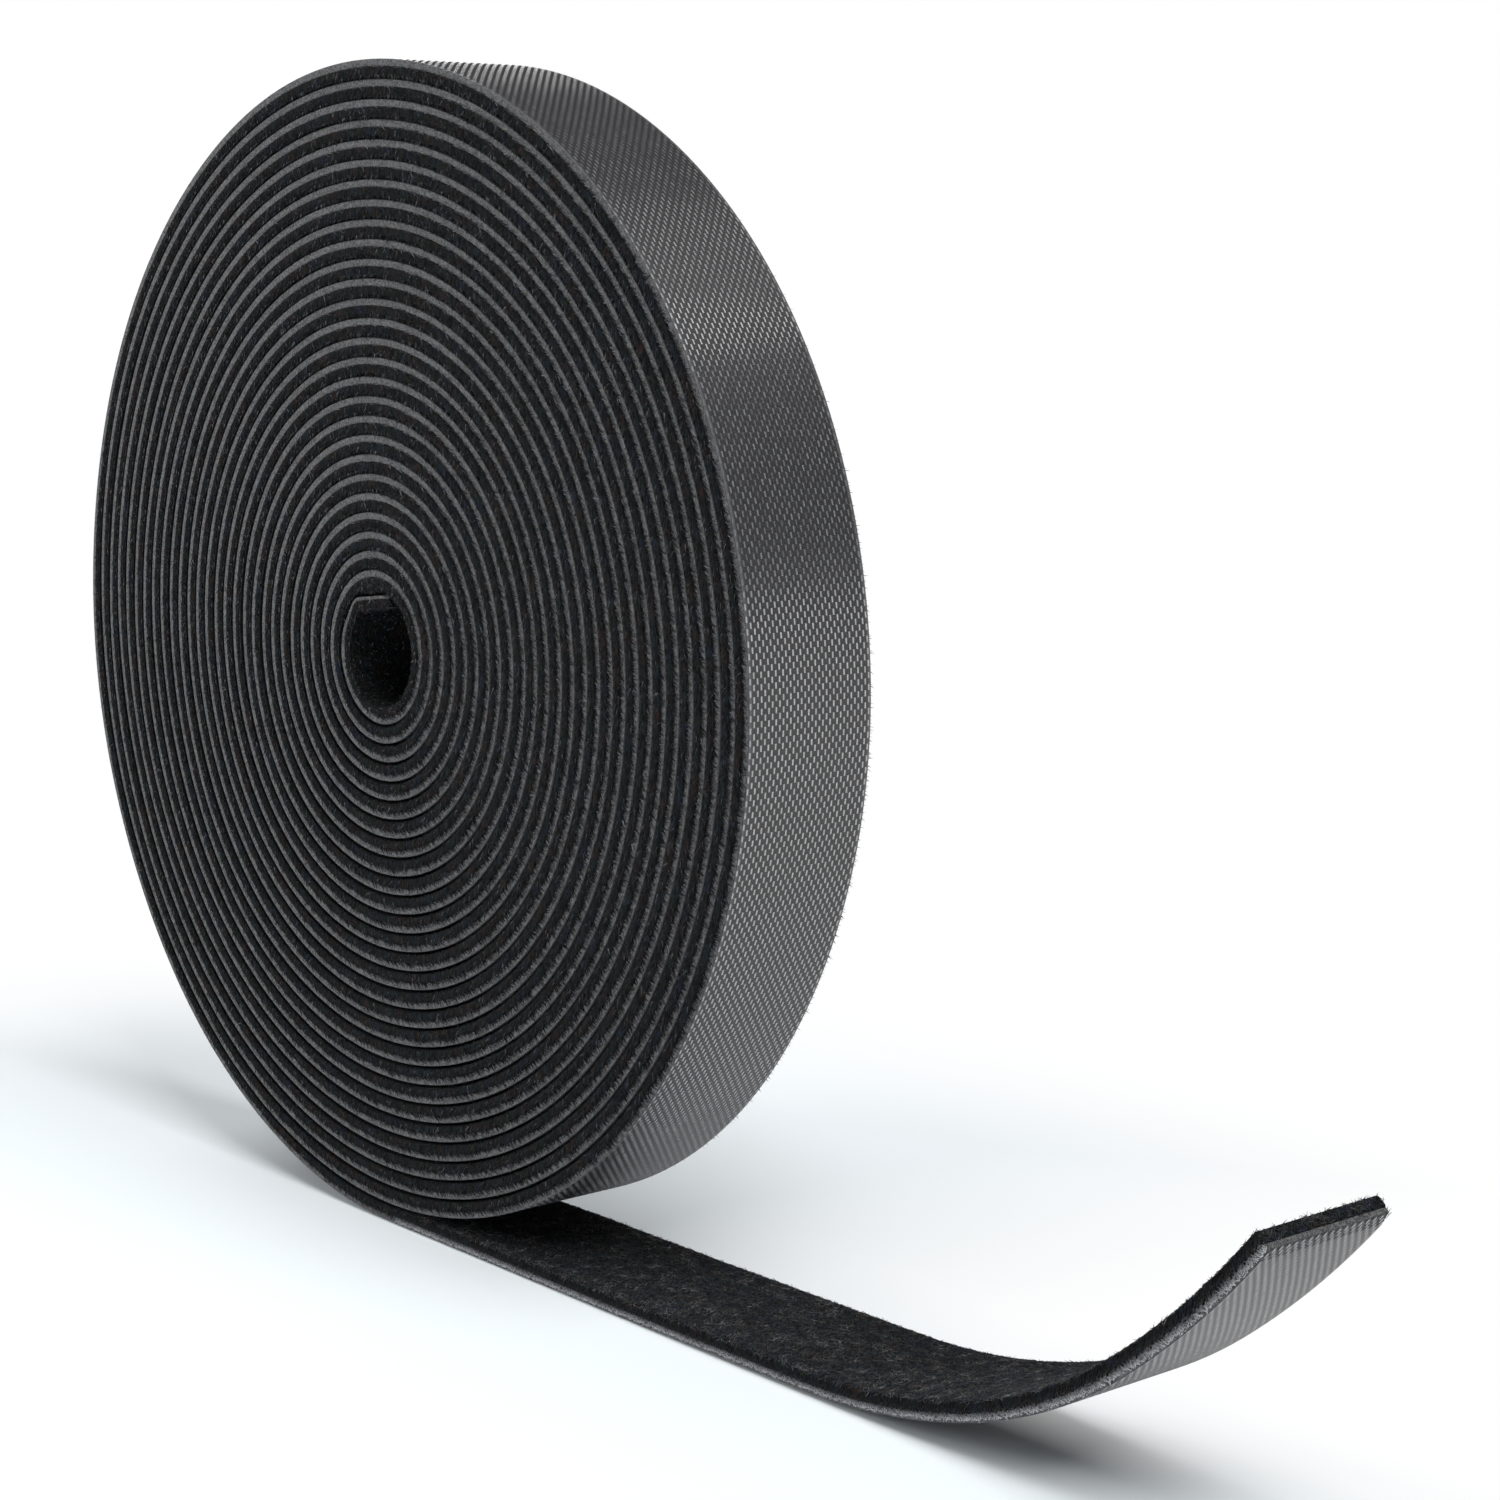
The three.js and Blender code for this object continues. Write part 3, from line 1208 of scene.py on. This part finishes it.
@dataclass
class Coil:
    """The wound roll: both layers over 27 turns, with the weave of the outside turn and the nap."""

    maker: TapeMaker
    end_past_bottom: float = 2.0 * MM
    woven_turns: float = 1.02
    pressed_from: float = 85.0 * MM
    pressed_short: float = 10.0 * MM
    lining_length: float = 75 * MM
    edge_nap: NapPatch = NapPatch(
        HairStyle(0.75 * MM, 0.060 * MM, 0.20, 0.5, 0.7, patchy=0.2), 5.5, 0.5
    )
    eye_nap: NapPatch = NapPatch(HairStyle(0.50 * MM, 0.060 * MM, 0.30, 1.0, 0.1), 8.0)
    drape: HairRow = HairRow(
        Root.BOND, HairStyle(1.25 * MM, 0.090 * MM, 0.10, 0.45, 0.35, 0.05, 0.9), 0.14 * MM
    )
    rim: HairRow = HairRow(
        Root.PILE_RIM, HairStyle(0.60 * MM, 0.080 * MM, 0.20, 0.35, 0.9, -0.15), 0.20 * MM
    )

    @property
    def end(self) -> float:
        """Where the coil's pieces end, as a length of tape from the flap's tip."""
        return self.maker.line.length_at_bottom() + self.end_past_bottom

    def build(self) -> None:
        """Make the coil's pieces and set them on the roll."""
        maker, line, whole = self.maker, self.maker.line, (0.0, self.end)
        section, bottom = line.section, line.length_at_bottom()
        hook = maker.sweep("hook_coil", section.hook, whole)
        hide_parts("hook_tape_coil")
        pile = maker.sweep("loop_coil", section.pile, whole)
        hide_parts("loop_tape_coil")
        outside = (bottom - line.length_of_turns(self.woven_turns), self.end)
        pressed = (self.pressed_from, bottom - self.pressed_short)
        pieces = [
            hook,
            pile,
            maker.weave_floats("coil_weave_floats", outside),
            maker.sweep("coil_pressed_pile", section.pressed, pressed),
        ]
        for edge in Edge:
            side, facing = edge.name.lower(), Vector((0, edge.value, 0))
            pieces += [
                maker.fringe(f"coil_drape_{side}", whole, edge, self.drape),
                maker.fringe(f"coil_rim_{side}", whole, edge, self.rim),
                maker.nap(f"coil_nap_{side}", pile, self.edge_nap, maker.nap_hair, facing),
            ]
        lining = maker.sweep("eye_lining", section.pile, (0.0, self.lining_length))
        pieces.append(maker.nap("eye_nap", lining, self.eye_nap, maker.nap_hair, Vector((0, 0, 0))))
        bpy.data.objects.remove(lining)
        for piece in pieces:
            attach(piece, "roll")


@dataclass
class Tail:
    """The free tail: stretches of tape that bend from one CAD body to the next."""

    maker: TapeMaker
    first_crease: float = 11.1463 * MM
    flat_stretch: float = 18.3333 * MM
    curl_stretch: float = 17.8889 * MM
    stretches_per_run: int = 4
    nap: NapPatch = NapPatch(
        HairStyle(0.65 * MM, 0.050 * MM, 0.10, 1.0, 0.05, patchy=0.4), 18.0, 0.45
    )
    drape: HairRow = HairRow(
        Root.PILE_SIDE, HairStyle(0.50 * MM, 0.085 * MM, 0.20, 0.4, 0.9), 0.05 * MM
    )
    yarn_ends: HairRow = HairRow(
        Root.YARN_ENDS, HairStyle(0.45 * MM, 0.070 * MM, 0.40, 0.7, 0.0, -0.5), 0.035 * MM
    )

    def creases(self) -> list[float]:
        """Find the creases between the CAD bodies.

        Returns:
            Lengths of tape past the bottom of the roll, from the first crease to the tail's tip.
        """
        flat, curl = self.flat_stretch, self.curl_stretch
        count = self.stretches_per_run
        runs = [flat] * count + [(flat + curl) / 2] + [curl] * count
        return [self.first_crease + sum(runs[:number]) for number in range(len(runs) + 1)]

    def build(self, coil_end: float) -> None:
        """Make the tail's pieces, each from the middle of one stretch to the middle of the next.

        Args:
            coil_end: Where the coil's pieces end, as a length of tape from the flap's tip.
        """
        line = self.maker.line
        bottom = line.length_at_bottom()
        creases = [bottom + crease for crease in self.creases()]
        middles = [(a + b) / 2 for a, b in zip(creases, creases[1:])]
        cuts = [coil_end, *middles, creases[-1]]
        bodies = ["roll", *(f"tail_{number}" for number in range(1, len(middles) + 1))]
        for number, stretch in enumerate(zip(cuts, cuts[1:]), start=1):
            ends = [line.point(length) for length in stretch]
            for piece in self.pieces(number, stretch, min(number, len(middles))):
                if number < len(bodies):
                    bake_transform(piece)
                else:
                    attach(piece, bodies[-1])

    def pieces(self, number: int, stretch: Span, node: int) -> list[Object]:
        """Make all pieces of one stretch.

        Args:
            number: The stretch's number.
            stretch: Where it starts and ends, as lengths of tape from the flap's tip.
            node: The number of the CAD nodes that it stands for.

        Returns:
            The new pieces.
        """
        maker, section, name = self.maker, self.maker.line.section, f"tail_{number}"
        hook = maker.sweep(f"{name}_hook", section.hook, stretch)
        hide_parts(f"hook_tape_tail_{node}")
        pile = maker.sweep(f"{name}_pile", section.pile, stretch)
        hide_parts(f"loop_tape_tail_{node}")
        pieces = [
            hook,
            pile,
            maker.weave_floats(f"{name}_floats", stretch),
            # the tail's upward nap takes the paler copy of the nap hair, as painted light
            maker.nap(f"{name}_nap", pile, self.nap, maker.brushed_nap_painted_light, Vector((0, 0, 1))),
        ]
        for edge in Edge:
            side = edge.name.lower()
            pieces += [
                maker.fringe(f"{name}_drape_{side}", stretch, edge, self.drape),
                maker.fringe(f"{name}_yarn_ends_{side}", stretch, edge, self.yarn_ends),
            ]
        return pieces


@dataclass(frozen=True)
class Softbox:
    """A flat studio lamp, aimed at the middle of the roll.

    Fields give its name, its direction from there as degrees from +X towards +Y and above the
    floor, its distance, its width and height, its power in watts, whether it lights matte surfaces
    or only glints, and the point that it is aimed at.
    """

    name: str
    azimuth: float
    elevation: float
    distance: float
    size: Span
    power: float
    lights_all: bool = True
    aim: Triple = (0.03, 0.0, 0.08)

    def hang(self) -> None:
        """Make the lamp."""
        lamp = bpy.data.lights.new(self.name, "AREA")
        lamp.shape = "RECTANGLE"
        lamp.size, lamp.size_y = self.size
        lamp.energy = self.power
        holder = add_object(self.name, lamp)
        turn, rise = math.radians(self.azimuth), math.radians(self.elevation)
        level = math.cos(rise)
        towards = Vector((level * math.cos(turn), level * math.sin(turn), math.sin(rise)))
        holder.location = Vector(self.aim) + towards * self.distance
        holder.rotation_euler = towards.to_track_quat("Z", "Y").to_euler()
        holder.visible_diffuse = self.lights_all


@dataclass
class Studio:
    """The plain studio: a white floor, soft lamps, a pale backdrop, a dim ceiling and the camera.

    The floor keeps its shadow in an oblong about the roll, and fades to white over lengths from its
    middle, along X past the roll and along Y behind the tail. The backdrop fades to the ceiling
    over heights of the direction's Z.
    """

    floor_drop: float = 0.1 * MM
    floor_half: float = 6.0
    floor_colour: str = "f2f8fb"
    shadow_scale: Triple = (0.62, 1.0, 1.0)
    shadow_shift: Triple = (-0.0124, 0.0, 0.0)
    shadow_fade: Span = (0.07, 0.14)
    right_fade: Span = (0.025, 0.095)
    behind_fade: Span = (0.0, 0.03)
    lamps: tuple[Softbox, ...] = (
        Softbox("right_softbox", -9.0, 53.0, 1.1, (0.70, 0.70), 11.4),
        Softbox("left_softbox", 187.0, 50.0, 1.1, (0.60, 0.60), 4.7),
        Softbox("front_softbox", 226.0, 15.0, 0.75, (0.31, 0.31), 2.65),
        Softbox("rear_softbox", 66.0, 50.0, 1.0, (0.25, 0.34), 0.38, lights_all=False),
        Softbox("rear_panel", 91.0, 51.0, 1.0, (0.29, 0.31), 0.15, lights_all=False),
    )
    backdrop: float = 1.0
    ceiling: float = 0.08
    ceiling_fade: Span = (0.09, 0.18)
    camera_at: Triple = (0.36423, -0.24963, 0.13643)
    camera_pitch: float = math.radians(90 - 8.874)
    camera_yaw: float = math.radians(49.778)
    lens: float = 74.54
    sensor: float = 36.0
    nearest: float = 0.01

    def build(self) -> None:
        """Set up the studio."""
        self.build_floor()
        for lamp in self.lamps:
            lamp.hang()
        self.build_world()
        self.build_camera()
        bpy.context.scene.view_settings.view_transform = "Standard"

    def white_share(self, node: AddNode) -> Node:
        """Find where the floor shows white instead of its shadow.

        Args:
            node: Adds a node to the floor's material.

        Returns:
            A node that is 1 far from the roll and behind the tail, for rays that show the floor to
            the camera, in a glint or through something. For rays that light the object it is 0.
        """
        place = node("ShaderNodeTexCoord").outputs["Object"]
        shape = [place, self.shadow_scale, self.shadow_shift]
        oblong = node(VECTOR, shape, operation="MULTIPLY_ADD")
        distance = node(VECTOR, [oblong], operation="LENGTH")
        fade = [distance, *self.shadow_fade]
        far = node(RANGE, fade, interpolation_type="SMOOTHSTEP")
        parts = node(SPLIT, [place]).outputs
        right = node(RANGE, [parts["X"], *self.right_fade])
        behind = node(RANGE, [parts["Y"], *self.behind_fade])
        past_tail = node(MATH, [right, behind], operation="MULTIPLY")
        white = node(MATH, [far, past_tail], operation="MAXIMUM")
        rays = node("ShaderNodeLightPath").outputs
        direct = [rays["Is Camera Ray"], rays["Is Glossy Ray"]]
        seen = [node(MATH, direct, operation="MAXIMUM"), rays["Is Transmission Ray"]]
        return node(MATH, [white, node(MATH, seen, operation="MAXIMUM")], operation="MULTIPLY")

    def build_floor(self) -> None:
        """Lay the floor: matte white where it keeps the shadow, and plain white beyond."""
        half, drop = self.floor_half, -self.floor_drop
        mesh = bpy.data.meshes.new("floor")
        signs = ((-1, -1), (1, -1), (1, 1), (-1, 1))
        mesh.from_pydata([(x * half, y * half, drop) for x, y in signs], [], [(0, 1, 2, 3)])
        floor = add_object("floor", mesh)
        material = bpy.data.materials.new("matte_white_floor")
        material.use_nodes = True
        tree = material.node_tree
        shader = tree.nodes["Principled BSDF"]
        paint = {"Base Color": linear(self.floor_colour), "Roughness": 1.0}
        set_inputs(tree, shader, {**paint, "Specular IOR Level": 0.0})
        glow = add_node(tree, "ShaderNodeEmission", {"Strength": 1.0})
        share = self.white_share(partial(add_node, tree))
        blend = add_node(tree, "ShaderNodeMixShader", [share, shader, glow])
        set_inputs(tree, tree.nodes["Material Output"], {"Surface": blend})
        mesh.materials.append(material)

    def build_world(self) -> None:
        """Make the surroundings: a white backdrop all round, under a dimmer ceiling."""
        world = bpy.data.worlds.new("pale_studio")
        bpy.context.scene.world = world
        world.use_nodes = True
        tree = world.node_tree
        node = partial(add_node, tree)
        direction = node(SPLIT, [node("ShaderNodeTexCoord").outputs["Generated"]]).outputs
        fade = [direction["Z"], *self.ceiling_fade, self.backdrop, self.ceiling]
        strength = node(RANGE, fade, interpolation_type="SMOOTHSTEP")
        white = {"Color": (1.0, 1.0, 1.0, 1.0), "Strength": strength}
        set_inputs(tree, tree.nodes["Background"], white)

    def build_camera(self) -> None:
        """Stand the camera where the photograph was taken from."""
        camera = bpy.data.cameras.new("camera")
        camera.lens = self.lens
        camera.sensor_width = self.sensor
        camera.clip_start = self.nearest
        holder = add_object("camera", camera)
        holder.location = self.camera_at
        holder.rotation_euler = (self.camera_pitch, 0.0, self.camera_yaw)
        bpy.context.scene.camera = holder


def main() -> None:
    """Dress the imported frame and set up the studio."""
    logging.basicConfig(level=logging.INFO, format="%(name)s %(message)s")
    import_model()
    maker = TapeMaker()
    coil = Coil(maker)
    coil.build()
    Tail(maker).build(coil.end)
    Studio().build()


if __name__ == "__main__":
    main()
